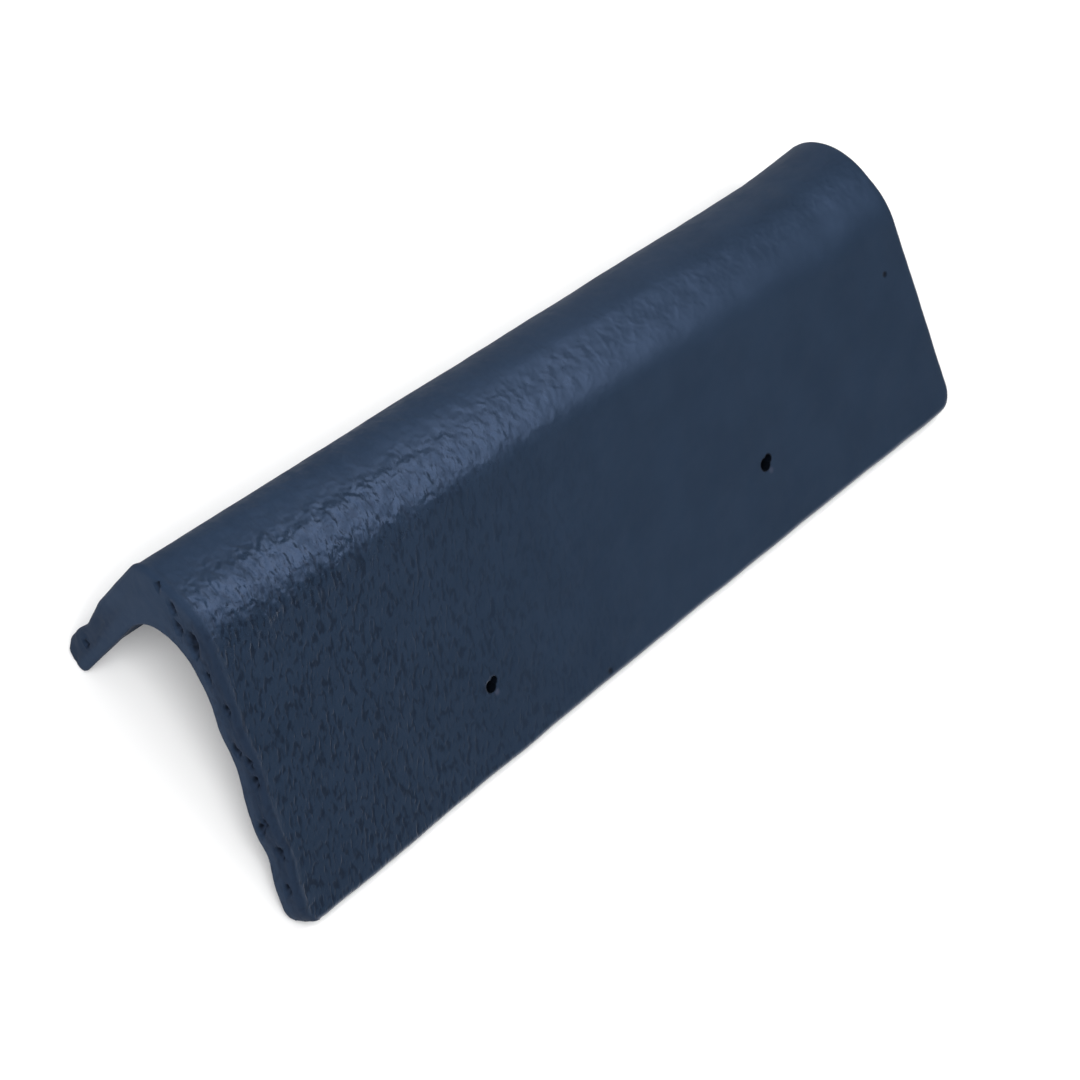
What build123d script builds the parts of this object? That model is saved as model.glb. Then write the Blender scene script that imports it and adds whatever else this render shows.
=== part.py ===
from build123d import *
import os
from math import cos, radians, sin, tan

# A concrete verge tile: one cast piece, bent along a thick rounded crown into a
# narrow leg and a wide leg. It tapers from the tail to the head, so that the
# tail of one tile laps over the head of the next.
#
# Frame: X runs along the tile from the tail to the head, Z is up, and the tile
# stands on the feet of its two legs, with the narrow leg on the +Y side. The
# origin is on the floor, under the middle of the tile.

# Length, and the last stretch at the head where the crown lifts a little
tile_length = 420.0
lip_length = 36.0
lip_lift = 2.6

# The wide leg, which carries the nail holes
wide_slope = 34.3
wide_thickness = 11.8
wide_corner_radius = 10.0

# The narrow leg, thinner at its foot, with a shallow hollow above the foot's bead.
# The heights and the rounding of bead and hollow are shares of the leg's height.
narrow_thickness = 13.6
narrow_foot_thickness = 10.4
foot_outer_radius = 8.0
foot_inner_radius = 3.0
bead_inset = 1.3
bead_share = 0.19
hollow_inset = 2.8
hollow_share = 0.285
hollow_top_share = 0.5
hollow_radius_share = 0.12

# The rim at the tail, where the narrow leg is thicker on its inner side
rim_length = 24.0
rim_extra_thickness = 3.6

# The least flat left between two roundings, on the crown and under the narrow foot
least_flat = 1.5

# Arrises: rounded along the wide foot, bevelled round both ends
arris_radius = 3.0
end_bevel = 1.5

# Tail section, with widths measured from the narrow leg's outer face. The crown
# runs from that face to the corner where it meets the wide leg's outer face.
tail_width = 153.5
tail_crown_width = 35.2
tail_crown_pitch = 13.5
tail_crown_depth = 23.4
tail_shoulder_radius = 9.0
tail_crown_radius = 32.0
tail_inner_shoulder_radius = 13.0
tail_inner_crown_radius = 48.0

# Head section, which is set in at the narrow leg and lower at the crown
head_inset = 11.0
head_width = 126.8
head_crown_width = 45.3
head_crown_pitch = 0.0
head_crown_depth = 15.0
head_shoulder_radius = 31.0
head_crown_radius = 34.0
head_inner_shoulder_radius = 16.0
head_inner_crown_radius = 19.0

# Two nail holes, square to the wide leg, placed from the tail and up the leg's
# outer face from the arris of its foot
nail_hole_diameter = 5.5
nail_holes_from_tail = (131.0, 309.0)
nail_holes_up_leg = 35.5

# The wide foot's edge is square to the leg. Rounding its arrises takes
# foot_trim off the foot's reach, both downwards and sideways.
slope = radians(wide_slope)
foot_trim = arris_radius * (sin(slope) + cos(slope) - 1)
foot_across = wide_thickness * sin(slope)
foot_rise = wide_thickness * cos(slope) - foot_trim
outer_edge = (tail_width - foot_trim) / 2


def section(sizes, extra=0.0):
    """Corners of the tile's cross-section, each as (y, z, radius), from foot to foot.

    The extra is what the rim adds to the narrow leg's thickness.
    """
    inset, width, crown_width, pitch, depth = sizes[:5]
    shoulder_radius, crown_radius, inner_shoulder_radius, inner_crown_radius = sizes[5:]
    rise = tan(radians(pitch))
    wide_out = inset + width
    crown_corner = inset + crown_width
    crown_height = foot_rise + (width - crown_width) * tan(slope)
    shoulder_height = crown_height - crown_width * rise
    ceiling = crown_height - depth
    ceiling_end = wide_out - foot_across - (ceiling + foot_trim) / tan(slope)
    # the roundings are no larger than the crown, the leg and the foot leave room for
    shoulder_turn = tan(radians(90 - pitch) / 2)
    crown_turn = tan((radians(pitch) + slope) / 2)
    straight = crown_width / cos(radians(pitch)) - least_flat
    share = min(1, straight / (shoulder_radius * shoulder_turn + crown_radius * crown_turn))
    hollow_top = hollow_top_share * shoulder_height
    hollow_radius = hollow_radius_share * shoulder_height
    leg_room = (shoulder_height - hollow_top - hollow_radius / 4) / shoulder_turn
    foot_thickness = narrow_foot_thickness + extra
    foot_share = min(1, (foot_thickness - least_flat) / (foot_outer_radius + foot_inner_radius))
    corners = [
        (inset + bead_inset, 0, foot_share * foot_outer_radius),
        (inset + bead_inset, bead_share * shoulder_height, hollow_radius),
        (inset + hollow_inset, hollow_share * shoulder_height, hollow_radius),
        (inset, hollow_top, hollow_radius),
        (inset, shoulder_height, min(share * shoulder_radius, leg_room)),
        (crown_corner, crown_height, share * crown_radius),
        (wide_out, foot_rise, arris_radius),
        (wide_out - foot_across, -foot_trim, arris_radius),
        (ceiling_end, ceiling, inner_crown_radius),
        (inset + narrow_thickness + extra, ceiling, inner_shoulder_radius),
        (inset + bead_inset + foot_thickness, 0, foot_share * foot_inner_radius),
    ]
    return [(outer_edge - across, up, radius) for across, up, radius in corners]


def sizes_at(from_tail):
    """The section's sizes at a distance from the tail, up to where the lip begins."""
    share = from_tail / tile_length
    return [a + (b - a) * share for a, b in zip(tail_sizes, unlifted_head_sizes)]


def shrunk(corners, amount):
    """The same section with its whole outline drawn in by one amount."""
    result = []
    for i, (y, z, radius) in enumerate(corners):
        here = Vector(y, z)
        before = (here - Vector(*corners[i - 1][:2])).normalized()
        after = (Vector(*corners[(i + 1) % len(corners)][:2]) - here).normalized()
        # the outline runs anticlockwise, so a left turn is a convex corner
        turn = before.cross(after).Z
        inward = Vector(-before.Y, before.X) + Vector(-after.Y, after.X)
        moved = here + inward * (amount / (1 + before.dot(after)))
        result.append((moved.X, moved.Y, radius - amount if turn > 0 else radius + amount))
    return result


def draw(corners):
    """One section as a closed outline with its corners rounded."""
    FilletPolyline(*[(y, z) for y, z, radius in corners], radius=[c[2] for c in corners], close=True)


# The sizes at both ends, and what the head's would be without its lip
tail_sizes = (
    0.0,
    tail_width,
    tail_crown_width,
    tail_crown_pitch,
    tail_crown_depth,
    tail_shoulder_radius,
    tail_crown_radius,
    tail_inner_shoulder_radius,
    tail_inner_crown_radius,
)
head_sizes = (
    head_inset,
    head_width,
    head_crown_width,
    head_crown_pitch,
    head_crown_depth,
    head_shoulder_radius,
    head_crown_radius,
    head_inner_shoulder_radius,
    head_inner_crown_radius,
)
unlifted_head_sizes = (head_inset + lip_lift, head_width - lip_lift, *head_sizes[2:])

# The sections at the ends, at the inner side of the rim and where the lip begins
tail = section(tail_sizes, rim_extra_thickness)
rim = section(sizes_at(rim_length))
neck = section(sizes_at(tile_length - lip_length))
head = section(head_sizes)

# The plane of the wide leg's outer face, from the tail corner of its foot
tail_corner = Vector(-tile_length / 2, outer_edge - tail_width, foot_rise)
head_corner = Vector(tile_length / 2, outer_edge - head_inset - head_width, foot_rise)
up_leg = Vector(0, cos(slope), sin(slope))
foot_line = (head_corner - tail_corner).normalized()
wide_face = Plane(origin=tail_corner, x_dir=foot_line, z_dir=foot_line.cross(up_leg))


def on_wide_face(from_tail, up):
    """A point of the wide face, from its distance to the tail and its height up the leg."""
    point = tail_corner + foot_line * (from_tail / foot_line.X) + up_leg * up
    return wide_face.to_local_coords(point)


def corner_offcut(from_tail, inward):
    """What rounding takes off the wide leg at one end, on the plane of its face."""
    reach = 2 * wide_corner_radius
    up_end = on_wide_face(from_tail, reach)
    corner = on_wide_face(from_tail, 0)
    along_foot = on_wide_face(from_tail + inward * reach, 0)
    past_end = Vector(-inward * reach, 0)
    past_foot = Vector(0, -reach)
    FilletPolyline(up_end, corner, along_foot, radius=wide_corner_radius)
    Polyline(along_foot, along_foot + past_foot, corner + past_foot + past_end, up_end + past_end, up_end)


# The casting, with its holes
with BuildPart() as verge_tile:
    for across, corners in (
        (-tile_length / 2, shrunk(tail, end_bevel)),
        (-tile_length / 2 + end_bevel, tail),
        (-tile_length / 2 + rim_length, rim),
        (tile_length / 2 - lip_length, neck),
        (tile_length / 2 - end_bevel, head),
        (tile_length / 2, shrunk(head, end_bevel)),
    ):
        with BuildSketch(Plane.YZ.offset(across)):
            with BuildLine():
                draw(corners)
            make_face()
    loft(ruled=True)
    with BuildSketch(wide_face):
        for from_tail, inward in ((0, 1), (tile_length, -1)):
            with BuildLine():
                corner_offcut(from_tail, inward)
            make_face()
        with Locations(*[on_wide_face(hole, nail_holes_up_leg) for hole in nail_holes_from_tail]):
            Circle(nail_hole_diameter / 2)
    extrude(amount=2 * wide_thickness, both=True, mode=Mode.SUBTRACT)

verge_tile.part.label = "verge_tile"
os.makedirs("parts", exist_ok=True)
export_step(verge_tile.part, "parts/verge_tile.step")
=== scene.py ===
import math

import bpy
import numpy as np
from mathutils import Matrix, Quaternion, Vector, noise


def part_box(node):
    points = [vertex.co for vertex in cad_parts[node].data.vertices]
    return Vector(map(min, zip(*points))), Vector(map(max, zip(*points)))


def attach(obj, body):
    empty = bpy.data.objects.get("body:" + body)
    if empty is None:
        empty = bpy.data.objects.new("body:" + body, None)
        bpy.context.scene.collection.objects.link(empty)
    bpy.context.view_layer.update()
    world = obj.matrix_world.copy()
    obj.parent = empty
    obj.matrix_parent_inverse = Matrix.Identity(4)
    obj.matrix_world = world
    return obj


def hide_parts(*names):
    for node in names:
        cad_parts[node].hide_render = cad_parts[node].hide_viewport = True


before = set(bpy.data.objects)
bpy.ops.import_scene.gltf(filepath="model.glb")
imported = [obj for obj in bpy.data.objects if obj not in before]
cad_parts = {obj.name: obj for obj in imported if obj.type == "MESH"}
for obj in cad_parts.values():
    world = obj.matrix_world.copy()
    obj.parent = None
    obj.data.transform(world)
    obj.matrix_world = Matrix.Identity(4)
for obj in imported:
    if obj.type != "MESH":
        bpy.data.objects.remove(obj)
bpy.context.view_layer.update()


# The cross-section of the tile: a narrow leg and a wide leg that meet in a thick
# rounded crown. The concrete is pressed into a mould, so the section's corners are
# all rounded, and its sizes change evenly from the tail to the lip at the head.
mm = 0.001
tile_low, tile_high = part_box("verge_tile")
tail_x = tile_low[0]
head_x = tile_high[0]
tile_length = head_x - tail_x
outer_edge = tile_high[1]

# The wide leg, whose foot is square to it with its arrises rounded. The rounding
# takes a little off the foot's reach, both down and sideways.
slope = math.radians(34.3)
wide_thickness = 11.8 * mm
arris_radius = 3 * mm
foot_trim = arris_radius * (math.sin(slope) + math.cos(slope) - 1)
foot_across = wide_thickness * math.sin(slope)
foot_rise = wide_thickness * math.cos(slope) - foot_trim

# The narrow leg, thinner at its foot, with a shallow hollow above the foot's bead. The
# heights and the rounding of bead and hollow are shares of the leg's height.
narrow_thickness = 13.6 * mm
narrow_foot_thickness = 10.4 * mm
foot_outer_radius = 8 * mm
foot_inner_radius = 3 * mm
bead_inset = 1.3 * mm
hollow_inset = 2.8 * mm
bead_share = 0.19
hollow_share = 0.285
hollow_top_share = 0.5
hollow_radius_share = 0.12

# The least flat left between two roundings, under the narrow foot and on the crown
least_flat = 1.5 * mm

# The rim at the tail, where the narrow leg is thicker on its inner side
rim_length = 24 * mm
rim_extra_thickness = 3.6 * mm

# The section's sizes at both ends: how far it is set in at the narrow leg, its width,
# the crown's width, pitch in degrees and depth, and the radii of the shoulder, of the
# corner to the wide leg, and of the two corners under them
section_names = (
    "inset", "width", "crown", "pitch", "depth",
    "shoulder", "corner", "under_shoulder", "under_corner",
)
tail_section = np.array((
    0, 153.5 * mm, 35.2 * mm, 13.5, 23.4 * mm,
    9 * mm, 32 * mm, 19.5 * mm, 35 * mm,
))
head_section = np.array((
    11 * mm, 126.8 * mm, 45.3 * mm, 0, 15 * mm,
    31 * mm, 34 * mm, 16 * mm, 19 * mm,
))
tail_sizes = dict(zip(section_names, tail_section))
head_sizes = dict(zip(section_names, head_section))

# The lip at the head, where the narrow leg goes out by the lift and the crown rises
lip_length = 36 * mm
lip_lift = 2.6 * mm
unlifted_head = head_section.copy()
unlifted_head[section_names.index("inset")] += lip_lift
unlifted_head[section_names.index("width")] -= lip_lift


def section_sizes(from_tail):
    """The section's sizes at a distance from the tail, by name."""
    lip_start = tile_length - lip_length
    sizes = tail_section + (unlifted_head - tail_section) * min(from_tail, lip_start) / tile_length
    if from_tail > lip_start:
        sizes = sizes + (head_section - sizes) * (from_tail - lip_start) / lip_length
    return dict(zip(section_names, sizes))


def section_corners(from_tail):
    """Corners (y, z, radius) of the section, from the narrow foot over the crown and back."""
    at = section_sizes(from_tail)
    inset = at["inset"]
    pitch = math.radians(at["pitch"])
    crown_height = foot_rise + (at["width"] - at["crown"]) * math.tan(slope)
    leg_height = crown_height - at["crown"] * math.tan(pitch)
    ceiling = crown_height - at["depth"]
    wide_out = inset + at["width"]
    ceiling_end = wide_out - foot_across - (ceiling + foot_trim) / math.tan(slope)
    extra = rim_extra_thickness * max(0, 1 - from_tail / rim_length)
    foot = narrow_foot_thickness + extra
    foot_share = min(1, (foot - least_flat) / (foot_outer_radius + foot_inner_radius))
    bend = hollow_radius_share * leg_height
    shoulder_turn = math.tan((math.pi / 2 - pitch) / 2)
    corner_turn = math.tan((pitch + slope) / 2)
    straight = at["crown"] / math.cos(pitch) - least_flat
    share = min(1, straight / (at["shoulder"] * shoulder_turn + at["corner"] * corner_turn))
    leg_room = (leg_height * (1 - hollow_top_share) - bend / 4) / shoulder_turn
    corners = (
        (inset + bead_inset, 0, foot_share * foot_outer_radius),
        (inset + bead_inset, bead_share * leg_height, bend),
        (inset + hollow_inset, hollow_share * leg_height, bend),
        (inset, hollow_top_share * leg_height, bend),
        (inset, leg_height, min(share * at["shoulder"], leg_room)),
        (inset + at["crown"], crown_height, share * at["corner"]),
        (wide_out, foot_rise, arris_radius),
        (wide_out - foot_across, -foot_trim, arris_radius),
        (ceiling_end, ceiling, at["under_corner"]),
        (inset + narrow_thickness + extra, ceiling, at["under_shoulder"]),
        (inset + bead_inset + foot, 0, foot_share * foot_inner_radius),
    )
    return [(outer_edge - across, up, radius) for across, up, radius in corners]


# How many steps each rounding and each straight after it gets. The outline starts
# half way round the narrow foot's outer corner, and its four sides are the outer
# faces, the wide foot's edge, the inner faces and the narrow foot's underside.
half_steps = {0: (4, 3), 6: (3, 3), 7: (3, 3), 10: (3, 3)}
arc_steps = {1: 3, 2: 3, 3: 3, 4: 24, 5: 14, 8: 24, 9: 24}
line_steps = (6, 5, 8, 18, 14, 86, 14, 86, 4, 46, 13)
outer_arc_steps = sum(arc_steps[i] for i in range(1, 6))
leg_steps = half_steps[0][1] + outer_arc_steps + sum(line_steps[:6]) + half_steps[6][0]
edge_steps = half_steps[6][1] + line_steps[6] + half_steps[7][0]


def rounded(corners):
    """The section's outline as one ring of points, with its corners rounded."""
    count = len(corners)
    points = np.array([corner[:2] for corner in corners])
    arcs = []
    for i in range(count):
        before = points[i] - points[i - 1]
        after = points[(i + 1) % count] - points[i]
        before /= np.linalg.norm(before)
        after /= np.linalg.norm(after)
        turn = math.atan2(before[0] * after[1] - before[1] * after[0], before @ after)
        radius = corners[i][2]
        start = points[i] - before * radius * math.tan(abs(turn) / 2)
        centre = start + np.array((-before[1], before[0])) * radius * math.copysign(1, turn)
        if i in half_steps:
            first, second = half_steps[i]
            first_half = np.linspace(0, 0.5, first + 1)
            second_half = np.linspace(0.5, 1, second + 1)[1:]
            shares = np.concatenate((first_half, second_half))
        else:
            shares = np.linspace(0, 1, arc_steps[i] + 1)
        spoke = start - centre
        angles = turn * shares
        arcs.append(centre + np.stack((
            np.cos(angles) * spoke[0] - np.sin(angles) * spoke[1],
            np.sin(angles) * spoke[0] + np.cos(angles) * spoke[1],
        ), axis=1))
    ring = []
    for i in range(count):
        following = arcs[(i + 1) % count][0]
        shares = np.linspace(0, 1, line_steps[i] + 1)[1:-1, None]
        ring += [arcs[i], arcs[i][-1] + (following - arcs[i][-1]) * shares]
    return np.roll(np.concatenate(ring), -half_steps[0][0], axis=0)


# The skin of the tile as one grid of quads: a ring of points at each station along
# the length, closed at both ends by a grid across the wall. The end arrises are
# rounded, most by the wide foot, and the foot's corners are turned off in plan.
end_radius = 1.6 * mm
end_rows = 4
foot_zone = 6 * mm
foot_extra = 0.9
tail_zone = 30 * mm
tail_spacing = 1.2 * mm
body_spacing = 2.5 * mm
foot_corner_radius = 10 * mm
corner_reach = 2.5 * foot_corner_radius


def stations():
    """Distances from the tail at which the outline is drawn, with what is rounded off there."""
    angles = np.linspace(0, math.pi / 2, end_rows + 1)[:-1]
    ends = [(end_radius * (1 - math.cos(turn)), end_radius * (1 - math.sin(turn))) for turn in angles]
    near = np.arange(end_radius, tail_zone, tail_spacing)
    body_count = round((tile_length - tail_zone) / body_spacing)
    body = np.linspace(tail_zone, tile_length - end_radius, body_count)
    at_head = [(tile_length - from_end, off) for from_end, off in reversed(ends)]
    return ends + [(from_tail, 0) for from_tail in (*near, *body)] + at_head


def inward(ring):
    """Unit directions that point from the outline into the concrete."""
    along = np.roll(ring, -1, axis=0) - np.roll(ring, 1, axis=0)
    along /= np.linalg.norm(along, axis=1)[:, None]
    return np.stack((-along[:, 1], along[:, 0]), axis=1)


def turned_corners(ring, from_tail):
    """The ring's x positions, with the wide foot's corners rounded in plan at both ends."""
    at = section_sizes(from_tail)
    foot_y = outer_edge - (at["inset"] + at["width"])
    up_leg = (ring[:, 0] - foot_y) * math.cos(slope) + (ring[:, 1] - foot_rise) * math.sin(slope)
    to_corner = np.clip(foot_corner_radius - up_leg, 0, foot_corner_radius)
    offcut = foot_corner_radius - np.sqrt(foot_corner_radius**2 - to_corner**2)
    near_tail = max(0, 1 - from_tail / corner_reach)
    near_head = max(0, 1 - (tile_length - from_tail) / corner_reach)
    return tail_x + from_tail + offcut * (near_tail - near_head)


rings = []
for from_tail, off in stations():
    ring = rounded(section_corners(from_tail))
    by_foot = np.clip((foot_rise + foot_zone - ring[:, 1:]) / foot_zone, 0, 1) * (ring[:, :1] < 0)
    ring = ring + inward(ring) * off * (1 + foot_extra * by_foot)
    rings.append(np.column_stack((turned_corners(ring, from_tail), ring)))
rings = np.array(rings)


def end_grid(ring):
    """Points across the wall between the ring's outer and inner faces, row by row."""
    outer = ring[:leg_steps + 1]
    foot_edge = ring[leg_steps:leg_steps + edge_steps + 1]
    inner = ring[leg_steps + edge_steps:2 * leg_steps + edge_steps + 1][::-1]
    narrow_edge = np.concatenate((ring[2 * leg_steps + edge_steps:], ring[:1]))[::-1]
    down = np.linspace(0, 1, leg_steps + 1)[:, None, None]
    inwards = np.linspace(0, 1, edge_steps + 1)[None, :, None]
    between_faces = (1 - inwards) * outer[:, None] + inwards * inner[:, None]
    between_edges = (1 - down) * narrow_edge[None] + down * foot_edge[None]
    narrow_end = (1 - inwards) * outer[0] + inwards * inner[0]
    wide_end = (1 - inwards) * outer[-1] + inwards * inner[-1]
    between_corners = (1 - down) * narrow_end + down * wide_end
    return between_faces + between_edges - between_corners


def ring_index(i, j):
    """Which point of the ring lies at the border of the end grid."""
    if j == 0:
        return i
    if i == leg_steps:
        return leg_steps + j
    if j == edge_steps:
        return 2 * leg_steps + edge_steps - i
    return (2 * leg_steps + 2 * edge_steps - j) % ring_count


ring_count = 2 * (leg_steps + edge_steps)
inner_count = (leg_steps - 1) * (edge_steps - 1)
row_count = len(rings)
edge_shares = np.linspace(0, 1, edge_steps + 1)
ring_depth = np.concatenate((
    np.zeros(leg_steps), edge_shares, np.ones(leg_steps - 1), edge_shares[::-1][:-1],
))
points = [rings.reshape(-1, 3)]
depth_share = [np.tile(ring_depth, row_count)]
quads = []
for row in range(row_count - 1):
    here = np.arange(ring_count) + row * ring_count
    nearer = np.roll(here, -1)
    quads.append(np.stack((here, here + ring_count, nearer + ring_count, nearer), axis=1))
point_count = len(points[0])
for row in (0, row_count - 1):
    grid = end_grid(rings[row])
    numbers = np.empty(grid.shape[:2], dtype=int)
    inner_numbers = point_count + np.arange(inner_count)
    numbers[1:-1, 1:-1] = inner_numbers.reshape(leg_steps - 1, edge_steps - 1)
    for i in range(leg_steps + 1):
        for j in range(edge_steps + 1):
            if i in (0, leg_steps) or j in (0, edge_steps):
                numbers[i, j] = row * ring_count + ring_index(i, j)
    points.append(grid[1:-1, 1:-1].reshape(-1, 3))
    depth_share.append(np.tile(edge_shares[1:-1], leg_steps - 1))
    point_count += inner_count
    corners = (numbers[:-1, :-1], numbers[1:, :-1], numbers[1:, 1:], numbers[:-1, 1:])
    cells = np.stack(corners, axis=-1).reshape(-1, 4)
    quads.append(cells if row == 0 else cells[:, ::-1])
points = np.concatenate(points)
depth_share = np.concatenate(depth_share)
quads = np.concatenate(quads)
station = np.concatenate((
    np.repeat([from_tail for from_tail, _ in stations()], ring_count),
    np.zeros(inner_count),
    np.full(inner_count, tile_length),
))

skin = bpy.data.meshes.new("verge_tile_skin")
skin.from_pydata(points.tolist(), [], quads.tolist())
skin.shade_smooth()
tile = bpy.data.objects.new("tile_casting", skin)
bpy.context.scene.collection.objects.link(tile)
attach(tile, "root")
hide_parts("verge_tile")


# What the press and the mould leave on the casting: a wide foot that wanders a
# little, faces that are never quite flat, and a tail end that is torn open and full
# of voids, more on the wide leg than on the narrow one.
def fractal_noise(spots, across, octaves, seed, fading=0.8, finer=2.0):
    """Noise from about -1 to 1 at places in metres, with features this far across."""
    shift = Vector((seed * 17.3, seed * 5.1, seed * 9.7))
    return np.array([
        noise.fractal(Vector(spot) / across + shift, fading, finer, octaves) for spot in spots
    ])


def soft_step(values, low, high):
    """How far values are from low to high, from 0 to 1 with soft ends."""
    share = np.clip((values - low) / (high - low), 0, 1)
    return share * share * (3 - 2 * share)


# The wide leg bows and wanders sideways, more and more towards its foot
bow_depth = 1.3 * mm
bow_start = 60 * mm
bow_end = 408 * mm
wander_depth = 0.5 * mm
wander_length = 26 * mm
wander_row = 3.1
crown_reach = 45 * mm
wide_leg_reach = 110 * mm
wide_share = np.clip((outer_edge - crown_reach - points[:, 1]) / wide_leg_reach, 0, 1)
bow = np.sin(np.pi * np.clip((station - bow_start) / (bow_end - bow_start), 0, 1)) ** 0.8
wander = np.array([
    noise.noise(Vector((from_tail / wander_length, wander_row, 0))) for from_tail in station
])
points[:, 1] += (bow_depth * bow + wander_depth * wander) * wide_share

normals = np.empty(len(points) * 3)
skin.vertex_normals.foreach_get("vector", normals)
normals = normals.reshape(-1, 3)

# Distances down the wide leg from the crown's corner, and into the wall from its face
crown_height = foot_rise + (tail_sizes["width"] - tail_sizes["crown"]) * math.tan(slope)
crown_corner = np.array((outer_edge - tail_sizes["crown"], crown_height))
from_corner = crown_corner - points[:, 1:]
down_leg = from_corner[:, 0] * math.cos(slope) + from_corner[:, 1] * math.sin(slope)
into_wall = from_corner[:, 1] * math.cos(slope) - from_corner[:, 0] * math.sin(slope)

# All faces swell and sink a little, in broad and in small places
broad_swell = fractal_noise(points, 42 * mm, 2, seed=1) * 0.22 * mm
small_swell = fractal_noise(points, 12 * mm, 2, seed=2) * 0.11 * mm
points += normals * (broad_swell + small_swell)[:, None]

# How strongly the end is torn: most on the wide leg, least by the inner faces. The same share darkens
# the end's colour as painted shade.
torn_reach = 5 * mm
at_tail = soft_step(torn_reach - station, 0, torn_reach)
torn_and_end_shade = at_tail * (0.25 + 0.75 * soft_step(down_leg, -8 * mm, 12 * mm))
torn_and_end_shade *= 1 - 0.8 * soft_step(depth_share, 0.3, 0.75)
ragged_depth = 0.8 * mm
chip_depth = 2.2 * mm
near_tail = np.flatnonzero(torn_and_end_shade > 0.01)
ragged = np.zeros(len(points))
ragged[near_tail] = fractal_noise(points[near_tail], 7 * mm, 4, seed=3) * ragged_depth
chipped = np.zeros(len(points))
chips = fractal_noise(points[near_tail], 14 * mm, 3, seed=4)
chipped[near_tail] = np.clip(chips - 0.1, 0, 0.6) * chip_depth
points[:, 0] += torn_and_end_shade * (np.abs(ragged) + chipped)

# The end is worn back in three places down the leg: how far down the middle of each is,
# how deep it goes and how far it reaches to both sides, in millimetres
worn_places = ((70, 1.9, 21), (111, 1.9, 14), (40, 0.5, 14))
worn_reach = 16 * mm
worn_back = soft_step(worn_reach - station, 0, worn_reach)
for down, depth, reach in worn_places:
    in_place = soft_step(1 - np.abs(down_leg - down * mm) / (reach * mm), 0, 1)
    points[:, 0] += depth * mm * in_place * worn_back

# Its outer arris is worn round, from the end and from the face, and deeper into the
# wall by the foot
arris_worn = 1.3 * mm
arris_reach = 7 * mm
face_share = 0.55
wall_share = 0.55 + 0.45 * soft_step(down_leg, 120 * mm, 138 * mm)
arris = soft_step(arris_reach - station, 0, arris_reach) * (1 - soft_step(depth_share, 0, wall_share))
points[:, 0] += arris_worn * arris
points -= normals * (face_share * arris_worn * arris)[:, None]

# The lowest tip of the end is worn off, where the wide foot's corner meets the face
tip_worn = 1.6 * mm
tip_reach = 9 * mm
tip = soft_step(down_leg, 131 * mm, 141 * mm) * soft_step(tip_reach - station, 0, tip_reach)
tip *= 1 - soft_step(depth_share, 0, 0.6)
points[:, 1] += tip_worn * math.sin(slope) * tip
points[:, 2] -= tip_worn * math.cos(slope) * tip

# Voids in the torn end: how far down the leg from the crown's corner each one is, how
# deep in the wall, and how long, in millimetres. The last is in the narrow foot's bead.
# Their outlines are uneven, and their hollows are painted nearly black as shade.
voids = (
    (-14, 18.8, 3), (-5, 13.6, 4), (4, 13.5, 5), (9, 7.9, 6), (14, 8.6, 5),
    (26, 6, 4), (41, 3.2, 4), (60, 6, 5), (66, 2.5, 4), (75, 3, 4),
    (96, 7, 5), (93, 3.4, 4), (108, 3, 5), (124, 3.6, 4), (19, 77, 3),
)
void_depth = 4.2 * mm
void_half_width = 0.36
void_half_length = 0.55
void_and_shade = np.zeros(len(points))
on_tail = np.flatnonzero(station < 4 * mm)
uneven = fractal_noise(points[on_tail], 3 * mm, 2, seed=5) * 0.35
for down, deep, length in voids:
    across = (into_wall[on_tail] - deep * mm) / (void_half_width * length * mm)
    along = (down_leg[on_tail] - down * mm) / (void_half_length * length * mm)
    hollowed = np.clip(1.25 - np.hypot(across, along) - uneven, 0, 1) ** 0.7
    void_and_shade[on_tail] = np.maximum(void_and_shade[on_tail], hollowed)
void_and_shade *= 1 - soft_step(depth_share, 0.7, 0.95)
points[:, 0] += void_depth * void_and_shade

# How strongly the skin is wrinkled: most on the wide leg by the tail, not at all by the head and on
# the narrow leg. The same share sets the painted shade in the grooves and over the wrinkled part.
from_side = outer_edge - points[:, 1] - head_sizes["inset"] * station / tile_length
wrinkled_and_shaded = 1 - soft_step(station, 40 * mm, 260 * mm)
wrinkled_and_shaded *= soft_step(from_side, 15 * mm, 35 * mm)
wrinkled_and_shaded *= 0.06 + 0.94 * soft_step(down_leg, -10 * mm, 8 * mm)
wrinkled_and_shaded *= 1 - 0.4 * at_tail

# How strongly it is dented: most on the crown by the tail, least on the torn end
dented = 1.7 - 1.3 * soft_step(station, 0, 300 * mm)
dented *= 1 - 0.75 * soft_step(down_leg, 12 * mm, 30 * mm)
dented *= 0.35 + 0.65 * soft_step(down_leg, -24 * mm, -10 * mm)
dented *= 1 - 0.85 * at_tail

# The torn end, the inner faces and the narrow leg carry less coating, so they are matte
matte = np.maximum(soft_step(6 * mm - station, 0, 5 * mm), soft_step(depth_share, 0.6, 1))
matte = np.maximum(matte, 1 - soft_step(from_side, 7 * mm, 26 * mm)) * (1 - 0.8 * void_and_shade)

# It still stands on the floor
points[:, 2] = np.maximum(points[:, 2], 0)
skin.vertices.foreach_set("co", points.ravel())
skin_values = {"wrinkled_and_shaded": wrinkled_and_shaded, "dented": dented, "torn_and_end_shade": torn_and_end_shade, "matte": matte, "void_and_shade": void_and_shade}
for name, values in skin_values.items():
    layer = skin.attributes.new(name, "FLOAT", "POINT")
    layer.data.foreach_set("value", values)
skin.update()


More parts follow.
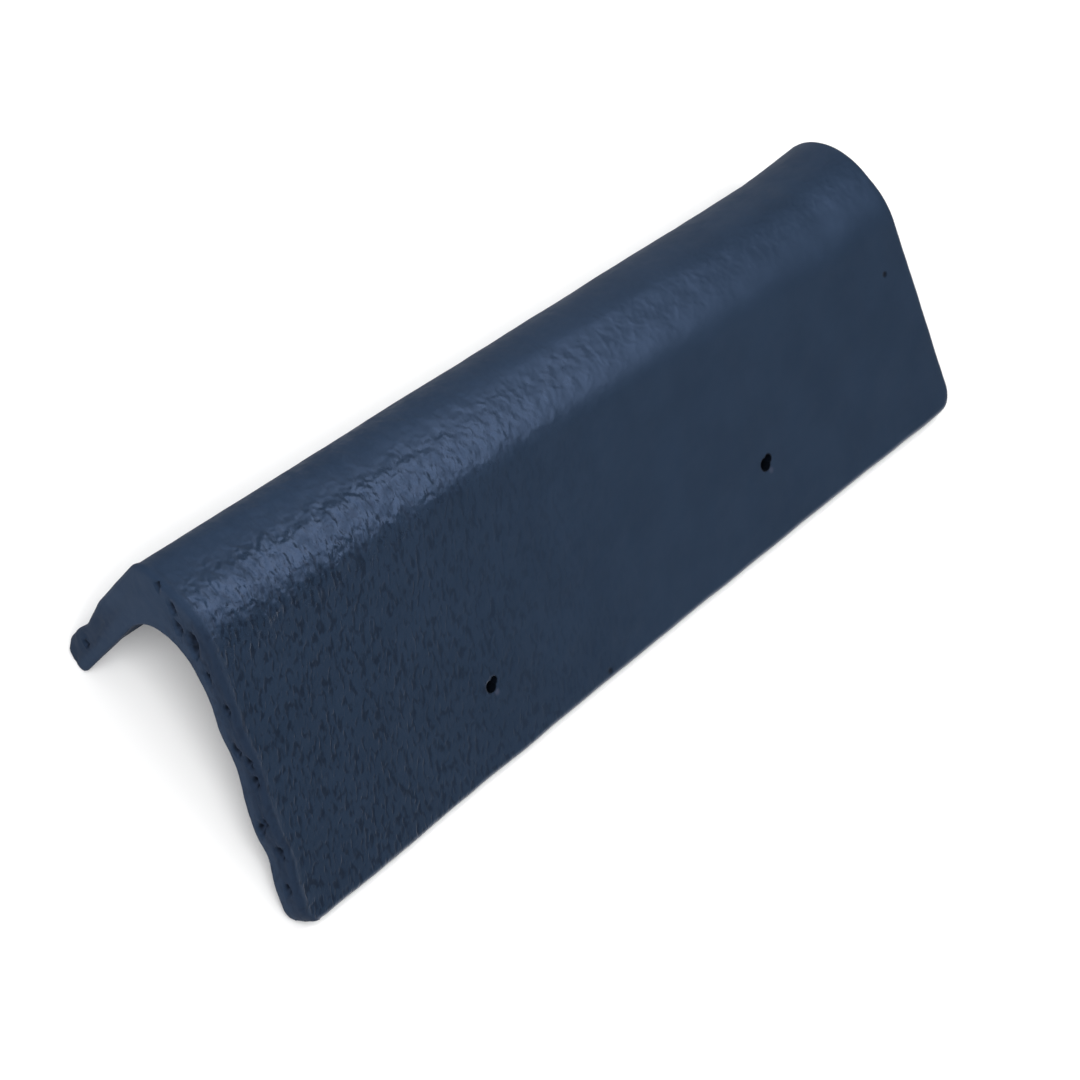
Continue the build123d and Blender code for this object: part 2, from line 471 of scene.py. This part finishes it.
# Two nail holes square through the wide leg, left by pins in the mould. Beside each
# hole, up the leg and towards the head, the coated skin has broken into a deep notch.
hole_radius = 2.75 * mm
holes_from_tail = (131 * mm, 309 * mm)
holes_up_leg = 35.5 * mm
pin_length = 30 * mm
notch_radius = 1.9 * mm
notch_depth = 10 * mm
foot_run = tail_sizes["width"] - head_sizes["inset"] - head_sizes["width"]
foot_direction = Vector((tile_length, foot_run, 0)).normalized()
up_leg = Vector((0, math.cos(slope), math.sin(slope)))
face_normal = foot_direction.cross(up_leg).normalized()


def on_wide_face(from_tail, up):
    """A point of the wide leg's outer face, by its distances from the tail and up the leg."""
    foot_y = outer_edge - tail_sizes["width"] + foot_run * from_tail / tile_length
    return Vector((tail_x + from_tail, foot_y, foot_rise)) + up_leg * up


hollows = []
cutters = []
for from_tail in holes_from_tail:
    centre = on_wide_face(from_tail, holes_up_leg)
    notch = centre + foot_direction * 2.4 * mm + up_leg * 1.5 * mm
    cuts = ((centre, hole_radius, pin_length), (notch, notch_radius, 2 * notch_depth))
    for spot, radius, length in cuts:
        hollows.append((spot, radius))
        bpy.ops.mesh.primitive_cylinder_add(radius=radius, depth=length, vertices=28, location=spot)
        pin = bpy.context.object
        pin.rotation_mode = "QUATERNION"
        pin.rotation_quaternion = face_normal.to_track_quat("Z", "Y")
        cutters.append(pin)
for pin in cutters:
    cut = tile.modifiers.new(pin.name, "BOOLEAN")
    cut.operation = "DIFFERENCE"
    cut.solver = "EXACT"
    cut.object = pin
cut_tile = tile.evaluated_get(bpy.context.evaluated_depsgraph_get())
holed = bpy.data.meshes.new_from_object(cut_tile)
holed.set_sharp_from_angle(angle=math.radians(62))
tile.modifiers.clear()
tile.data = holed
for pin in cutters:
    bpy.data.objects.remove(pin)


# The coating: a thin slate-blue semi-gloss paint, put on over the cast concrete. It
# follows every wrinkle of the pressed skin, and it is thinnest on the torn end.
def noise_at(tree, vector, scale, detail, roughness=0.5, distortion=0.0):
    """A noise texture's value, at a scale in features per metre."""
    node = tree.nodes.new("ShaderNodeTexNoise")
    tree.links.new(vector, node.inputs["Vector"])
    node.inputs["Scale"].default_value = scale
    node.inputs["Detail"].default_value = detail
    node.inputs["Roughness"].default_value = roughness
    node.inputs["Distortion"].default_value = distortion
    return node.outputs["Fac"]


def ramp(tree, value, low, high, start=0.0, end=1.0):
    """A value eased from start to end as the input goes from low to high."""
    node = tree.nodes.new("ShaderNodeMapRange")
    node.interpolation_type = "SMOOTHSTEP"
    tree.links.new(value, node.inputs["Value"])
    node.inputs["From Min"].default_value = low
    node.inputs["From Max"].default_value = high
    node.inputs["To Min"].default_value = start
    node.inputs["To Max"].default_value = end
    return node.outputs["Result"]


def maths(tree, operation, first, second):
    """A math node's result, from sockets or numbers."""
    node = tree.nodes.new("ShaderNodeMath")
    node.operation = operation
    for socket, value in zip(node.inputs, (first, second)):
        if isinstance(value, (int, float)):
            socket.default_value = value
        else:
            tree.links.new(value, socket)
    return node.outputs[0]


def mixed_colour(tree, factor, first, second):
    """One colour going over into another by a factor."""
    node = tree.nodes.new("ShaderNodeMix")
    node.data_type = "RGBA"
    tree.links.new(factor, node.inputs["Factor"])
    for name, colour in (("A", first), ("B", second)):
        if isinstance(colour, tuple):
            node.inputs[name].default_value = colour
        else:
            tree.links.new(colour, node.inputs[name])
    return node.outputs["Result"]


def vector_maths(tree, operation, first, second):
    """A vector math node's result, from sockets or vectors."""
    node = tree.nodes.new("ShaderNodeVectorMath")
    node.operation = operation
    for socket, value in zip(node.inputs, (first, second)):
        if isinstance(value, Vector):
            socket.default_value = value
        else:
            tree.links.new(value, socket)
    gives_value = operation in ("DOT_PRODUCT", "LENGTH", "DISTANCE")
    return node.outputs["Value"] if gives_value else node.outputs["Vector"]


# Wrinkles of the skin: fine dimples and broader folds, drawn out down the leg and
# leaning, and dents that are as wide as long. The scales are in features per metre.
dimple_lean = math.radians(14)
dimple_stretch = 0.44
dimple_scale = 520
fold_scale = 170
fold_strength = 0.4
dent_scale = 200
wrinkles = bpy.data.node_groups.new("pressed_wrinkles", "ShaderNodeTree")
wrinkles.interface.new_socket("Place", in_out="INPUT", socket_type="NodeSocketVector")
wrinkles.interface.new_socket("Wrinkles", in_out="OUTPUT", socket_type="NodeSocketFloat")
wrinkles.interface.new_socket("Dents", in_out="OUTPUT", socket_type="NodeSocketFloat")
given = wrinkles.nodes.new("NodeGroupInput").outputs
gives = wrinkles.nodes.new("NodeGroupOutput").inputs
level = wrinkles.nodes.new("ShaderNodeMapping")
level.inputs["Rotation"].default_value = (-slope, 0, 0)
wrinkles.links.new(given["Place"], level.inputs["Vector"])
leaned = wrinkles.nodes.new("ShaderNodeMapping")
leaned.inputs["Rotation"].default_value = (0, 0, dimple_lean)
wrinkles.links.new(level.outputs["Vector"], leaned.inputs["Vector"])
drawn_out = wrinkles.nodes.new("ShaderNodeMapping")
drawn_out.inputs["Scale"].default_value = (1, dimple_stretch, 1)
wrinkles.links.new(leaned.outputs["Vector"], drawn_out.inputs["Vector"])
dimples = noise_at(wrinkles, drawn_out.outputs["Vector"], dimple_scale, 1, 0.5, 0.5)
dimples = ramp(wrinkles, dimples, 0.3, 0.62)
folds = noise_at(wrinkles, drawn_out.outputs["Vector"], fold_scale, 1, 0.5, 0.4)
folds = maths(wrinkles, "MULTIPLY", folds, fold_strength)
wrinkles.links.new(maths(wrinkles, "ADD", dimples, folds), gives["Wrinkles"])
wrinkles.links.new(noise_at(wrinkles, given["Place"], dent_scale, 1, 0.5, 0.2), gives["Dents"])

coating = bpy.data.materials.new("coated_concrete")
coating.use_nodes = True
tree = coating.node_tree
shader = tree.nodes["Principled BSDF"]


def carried(name):
    """A value that the mesh carries at its points."""
    node = tree.nodes.new("ShaderNodeAttribute")
    node.attribute_name = name
    return node.outputs["Fac"]


# The paint's colours: it is mottled; painted shade darkens it on the torn end, in the grooves between
# the wrinkles and over the wrinkled part of the wide leg, and paints the voids nearly black
place = tree.nodes.new("ShaderNodeTexCoord").outputs["Object"]
deep_blue = (0.0112, 0.0208, 0.0385, 1)
slate_blue = (0.0128, 0.0234, 0.043, 1)
painted_shade_blue = (0.003, 0.0055, 0.011, 1)
end_shade_blue = (0.005, 0.009, 0.017, 1)
shade_black = (0.002, 0.003, 0.005, 1)
mottle_scale = 38
mottle = ramp(tree, noise_at(tree, place, mottle_scale, 4, 0.6), 0.35, 0.65)
paint = mixed_colour(tree, mottle, deep_blue, slate_blue)
# Painted shade: the torn end's colour is darkened, most on the wide leg
paint = mixed_colour(tree, ramp(tree, carried("torn_and_end_shade"), 0, 1, 0, 0.6), paint, end_shade_blue)
pressed = tree.nodes.new("ShaderNodeGroup")
pressed.node_tree = wrinkles
tree.links.new(place, pressed.inputs["Place"])
# Painted shade in the grooves between the wrinkles
groove_shade = ramp(tree, pressed.outputs["Wrinkles"], 0.15, 0.95, 0.7, 0)
groove_shade = maths(tree, "MULTIPLY", groove_shade, carried("wrinkled_and_shaded"))
paint = mixed_colour(tree, groove_shade, paint, painted_shade_blue)
# Painted shade over the whole wrinkled part of the wide leg, darker by the tail
paint = mixed_colour(tree, maths(tree, "MULTIPLY", carried("wrinkled_and_shaded"), 0.12), paint, painted_shade_blue)
# Painted shade: the voids are painted nearly black
paint = mixed_colour(tree, ramp(tree, carried("void_and_shade"), 0.1, 0.5), paint, shade_black)

# Two small pits in the wide leg, one by the head and one by the foot, sunk in the relief and painted
# black as shade: how far from the tail and up the leg each one is, and its radius, in millimetres
pits = ((404.9, 71.6, 1.9), (193.8, 5.2, 2.0))
pits_and_shade = None
for from_tail, up, radius in pits:
    gap = vector_maths(tree, "DISTANCE", place, on_wide_face(from_tail * mm, up * mm))
    pit = ramp(tree, gap, 0.3 * radius * mm, radius * mm, 1, 0)
    pits_and_shade = pit if pits_and_shade is None else maths(tree, "MAXIMUM", pits_and_shade, pit)

# The nail holes and the notches beside them are painted black inside as shade, from just under the
# face, and a pale patch is painted just below each hole as a highlight on its lower lip
lip_highlight_grey = (0.05, 0.056, 0.085, 1)
lip_highlight_radius = 2 * mm
# Painted shade: the pits and the insides of the holes and notches are painted nearly black
hollow_shade = pits_and_shade
for centre, radius in hollows:
    spot = vector_maths(tree, "SUBTRACT", place, centre)
    height = vector_maths(tree, "DOT_PRODUCT", spot, face_normal)
    sideways = vector_maths(tree, "CROSS_PRODUCT", spot, face_normal)
    beside = vector_maths(tree, "LENGTH", sideways, Vector())
    inside = ramp(tree, beside, radius + 0.15 * mm, radius + 0.7 * mm, 1, 0)
    inside = maths(tree, "MULTIPLY", inside, ramp(tree, height, -0.6 * mm, 0.3 * mm, 1, 0))
    hollow_shade = maths(tree, "MAXIMUM", hollow_shade, inside)
    if radius == hole_radius:
        # Painted highlight: a paler grey patch on the hole's lower lip
        lip_highlight_spot = centre + foot_direction * 2.2 * mm - up_leg * 3.9 * mm
        lip_highlight = vector_maths(tree, "DISTANCE", place, lip_highlight_spot)
        lip_highlight = ramp(tree, lip_highlight, 0.5 * mm, lip_highlight_radius, 0.5, 0)
        paint = mixed_colour(tree, lip_highlight, paint, lip_highlight_grey)
tree.links.new(mixed_colour(tree, hollow_shade, paint, shade_black), shader.inputs["Base Color"])

# The gloss: blue in its highlights, uneven where the skin is dented
coat_roughness = 0.32
patch_roughness = 0.08
matte_roughness = 0.5
patch_scale = 160
shader.inputs["Specular IOR Level"].default_value = 0.42
shader.inputs["Specular Tint"].default_value = (0.38, 0.56, 1, 1)
patches = noise_at(tree, place, patch_scale, 3, 0.6)
patches = ramp(tree, patches, 0.35, 0.7, -patch_roughness, patch_roughness)
patches = maths(tree, "MULTIPLY", patches, carried("dented"))
roughness = maths(tree, "ADD", patches, coat_roughness)
roughness = maths(tree, "ADD", roughness, maths(tree, "MULTIPLY", carried("matte"), matte_roughness))
tree.links.new(roughness, shader.inputs["Roughness"])

# The relief of the skin, too fine for the mesh
relief_depth = 0.11 * mm
dent_strength = 6
relief = tree.nodes.new("ShaderNodeBump")
relief.inputs["Distance"].default_value = relief_depth
wrinkle_height = maths(tree, "MULTIPLY", pressed.outputs["Wrinkles"], carried("wrinkled_and_shaded"))
dent_height = maths(tree, "MULTIPLY", pressed.outputs["Dents"], carried("dented"))
dent_height = maths(tree, "MULTIPLY", dent_height, dent_strength)
dent_height = maths(tree, "SUBTRACT", dent_height, pits_and_shade)
tree.links.new(maths(tree, "ADD", wrinkle_height, dent_height), relief.inputs["Height"])
tree.links.new(relief.outputs["Normal"], shader.inputs["Normal"])
holed.materials.clear()
holed.materials.append(coating)


# The floor and backdrop: one wide pale sheet, which isn't part of the tile.
bpy.ops.mesh.primitive_plane_add(size=30)
floor = bpy.context.object
floor.name = "studio_floor"
paper = bpy.data.materials.new("studio_paper")
paper.use_nodes = True
paper_shader = paper.node_tree.nodes["Principled BSDF"]
paper_shader.inputs["Base Color"].default_value = (0.9, 0.9, 0.9, 1)
paper_shader.inputs["Roughness"].default_value = 1
paper_shader.inputs["Specular IOR Level"].default_value = 0
floor.data.materials.append(paper)


# The studio light: a dim white surround and four soft boxes. The key box and the
# crown box stand across the tile from the camera, and light up the crown.
bpy.context.scene.view_settings.view_transform = "Standard"
world = bpy.data.worlds.new("studio")
bpy.context.scene.world = world
world.use_nodes = True
surround = world.node_tree.nodes["Background"]
surround.inputs["Color"].default_value = (1, 1, 1, 1)
surround.inputs["Strength"].default_value = 0.25


def direction(azimuth, elevation):
    """The unit direction to an azimuth and an elevation in degrees."""
    azimuth = math.radians(azimuth)
    elevation = math.radians(elevation)
    level = math.cos(elevation)
    return Vector((level * math.cos(azimuth), level * math.sin(azimuth), math.sin(elevation)))


def softbox(name, target, azimuth, elevation, distance, width, height, power):
    """A rectangular area light that faces a point from some way off in a direction."""
    away = direction(azimuth, elevation)
    lamp = bpy.data.lights.new(name, "AREA")
    lamp.shape = "RECTANGLE"
    lamp.size = width
    lamp.size_y = height
    lamp.energy = power
    box = bpy.data.objects.new(name, lamp)
    box.location = Vector(target) + away * distance
    box.rotation_mode = "QUATERNION"
    box.rotation_quaternion = away.to_track_quat("Z", "Y")
    bpy.context.scene.collection.objects.link(box)


softbox("key_box", (-0.2, 0, 0.08), 1, 50, 0.85, 0.75, 0.45, 3.75)
softbox("crown_box", (0.2, 0, 0.07), 4, 50, 2.0, 1.0, 0.8, 0.3)
softbox("top_box", (0, 0, 0), 150, 75, 3.0, 2.5, 2.5, 29)
softbox("front_box", (0, 0, 0), -172, 52, 3.0, 2.0, 2.0, 88)


# The camera: far away with a long lens, at the tail end of the tile, and rolled so
# that the tile lies across the picture from bottom left to top right.
camera_target = Vector((-22.4, -7.4, 40)) * mm
camera_distance = 4.079
camera_azimuth = -172.06
camera_elevation = 54.84
camera_roll = math.radians(44.32)
lens = bpy.data.cameras.new("photo_camera")
lens.lens = 332
lens.sensor_width = 36
camera = bpy.data.objects.new("photo_camera", lens)
backwards = direction(camera_azimuth, camera_elevation)
camera.location = camera_target + backwards * camera_distance
camera.rotation_mode = "QUATERNION"
camera.rotation_quaternion = backwards.to_track_quat("Z", "Y") @ Quaternion((0, 0, 1), camera_roll)
bpy.context.scene.collection.objects.link(camera)
bpy.context.scene.camera = camera
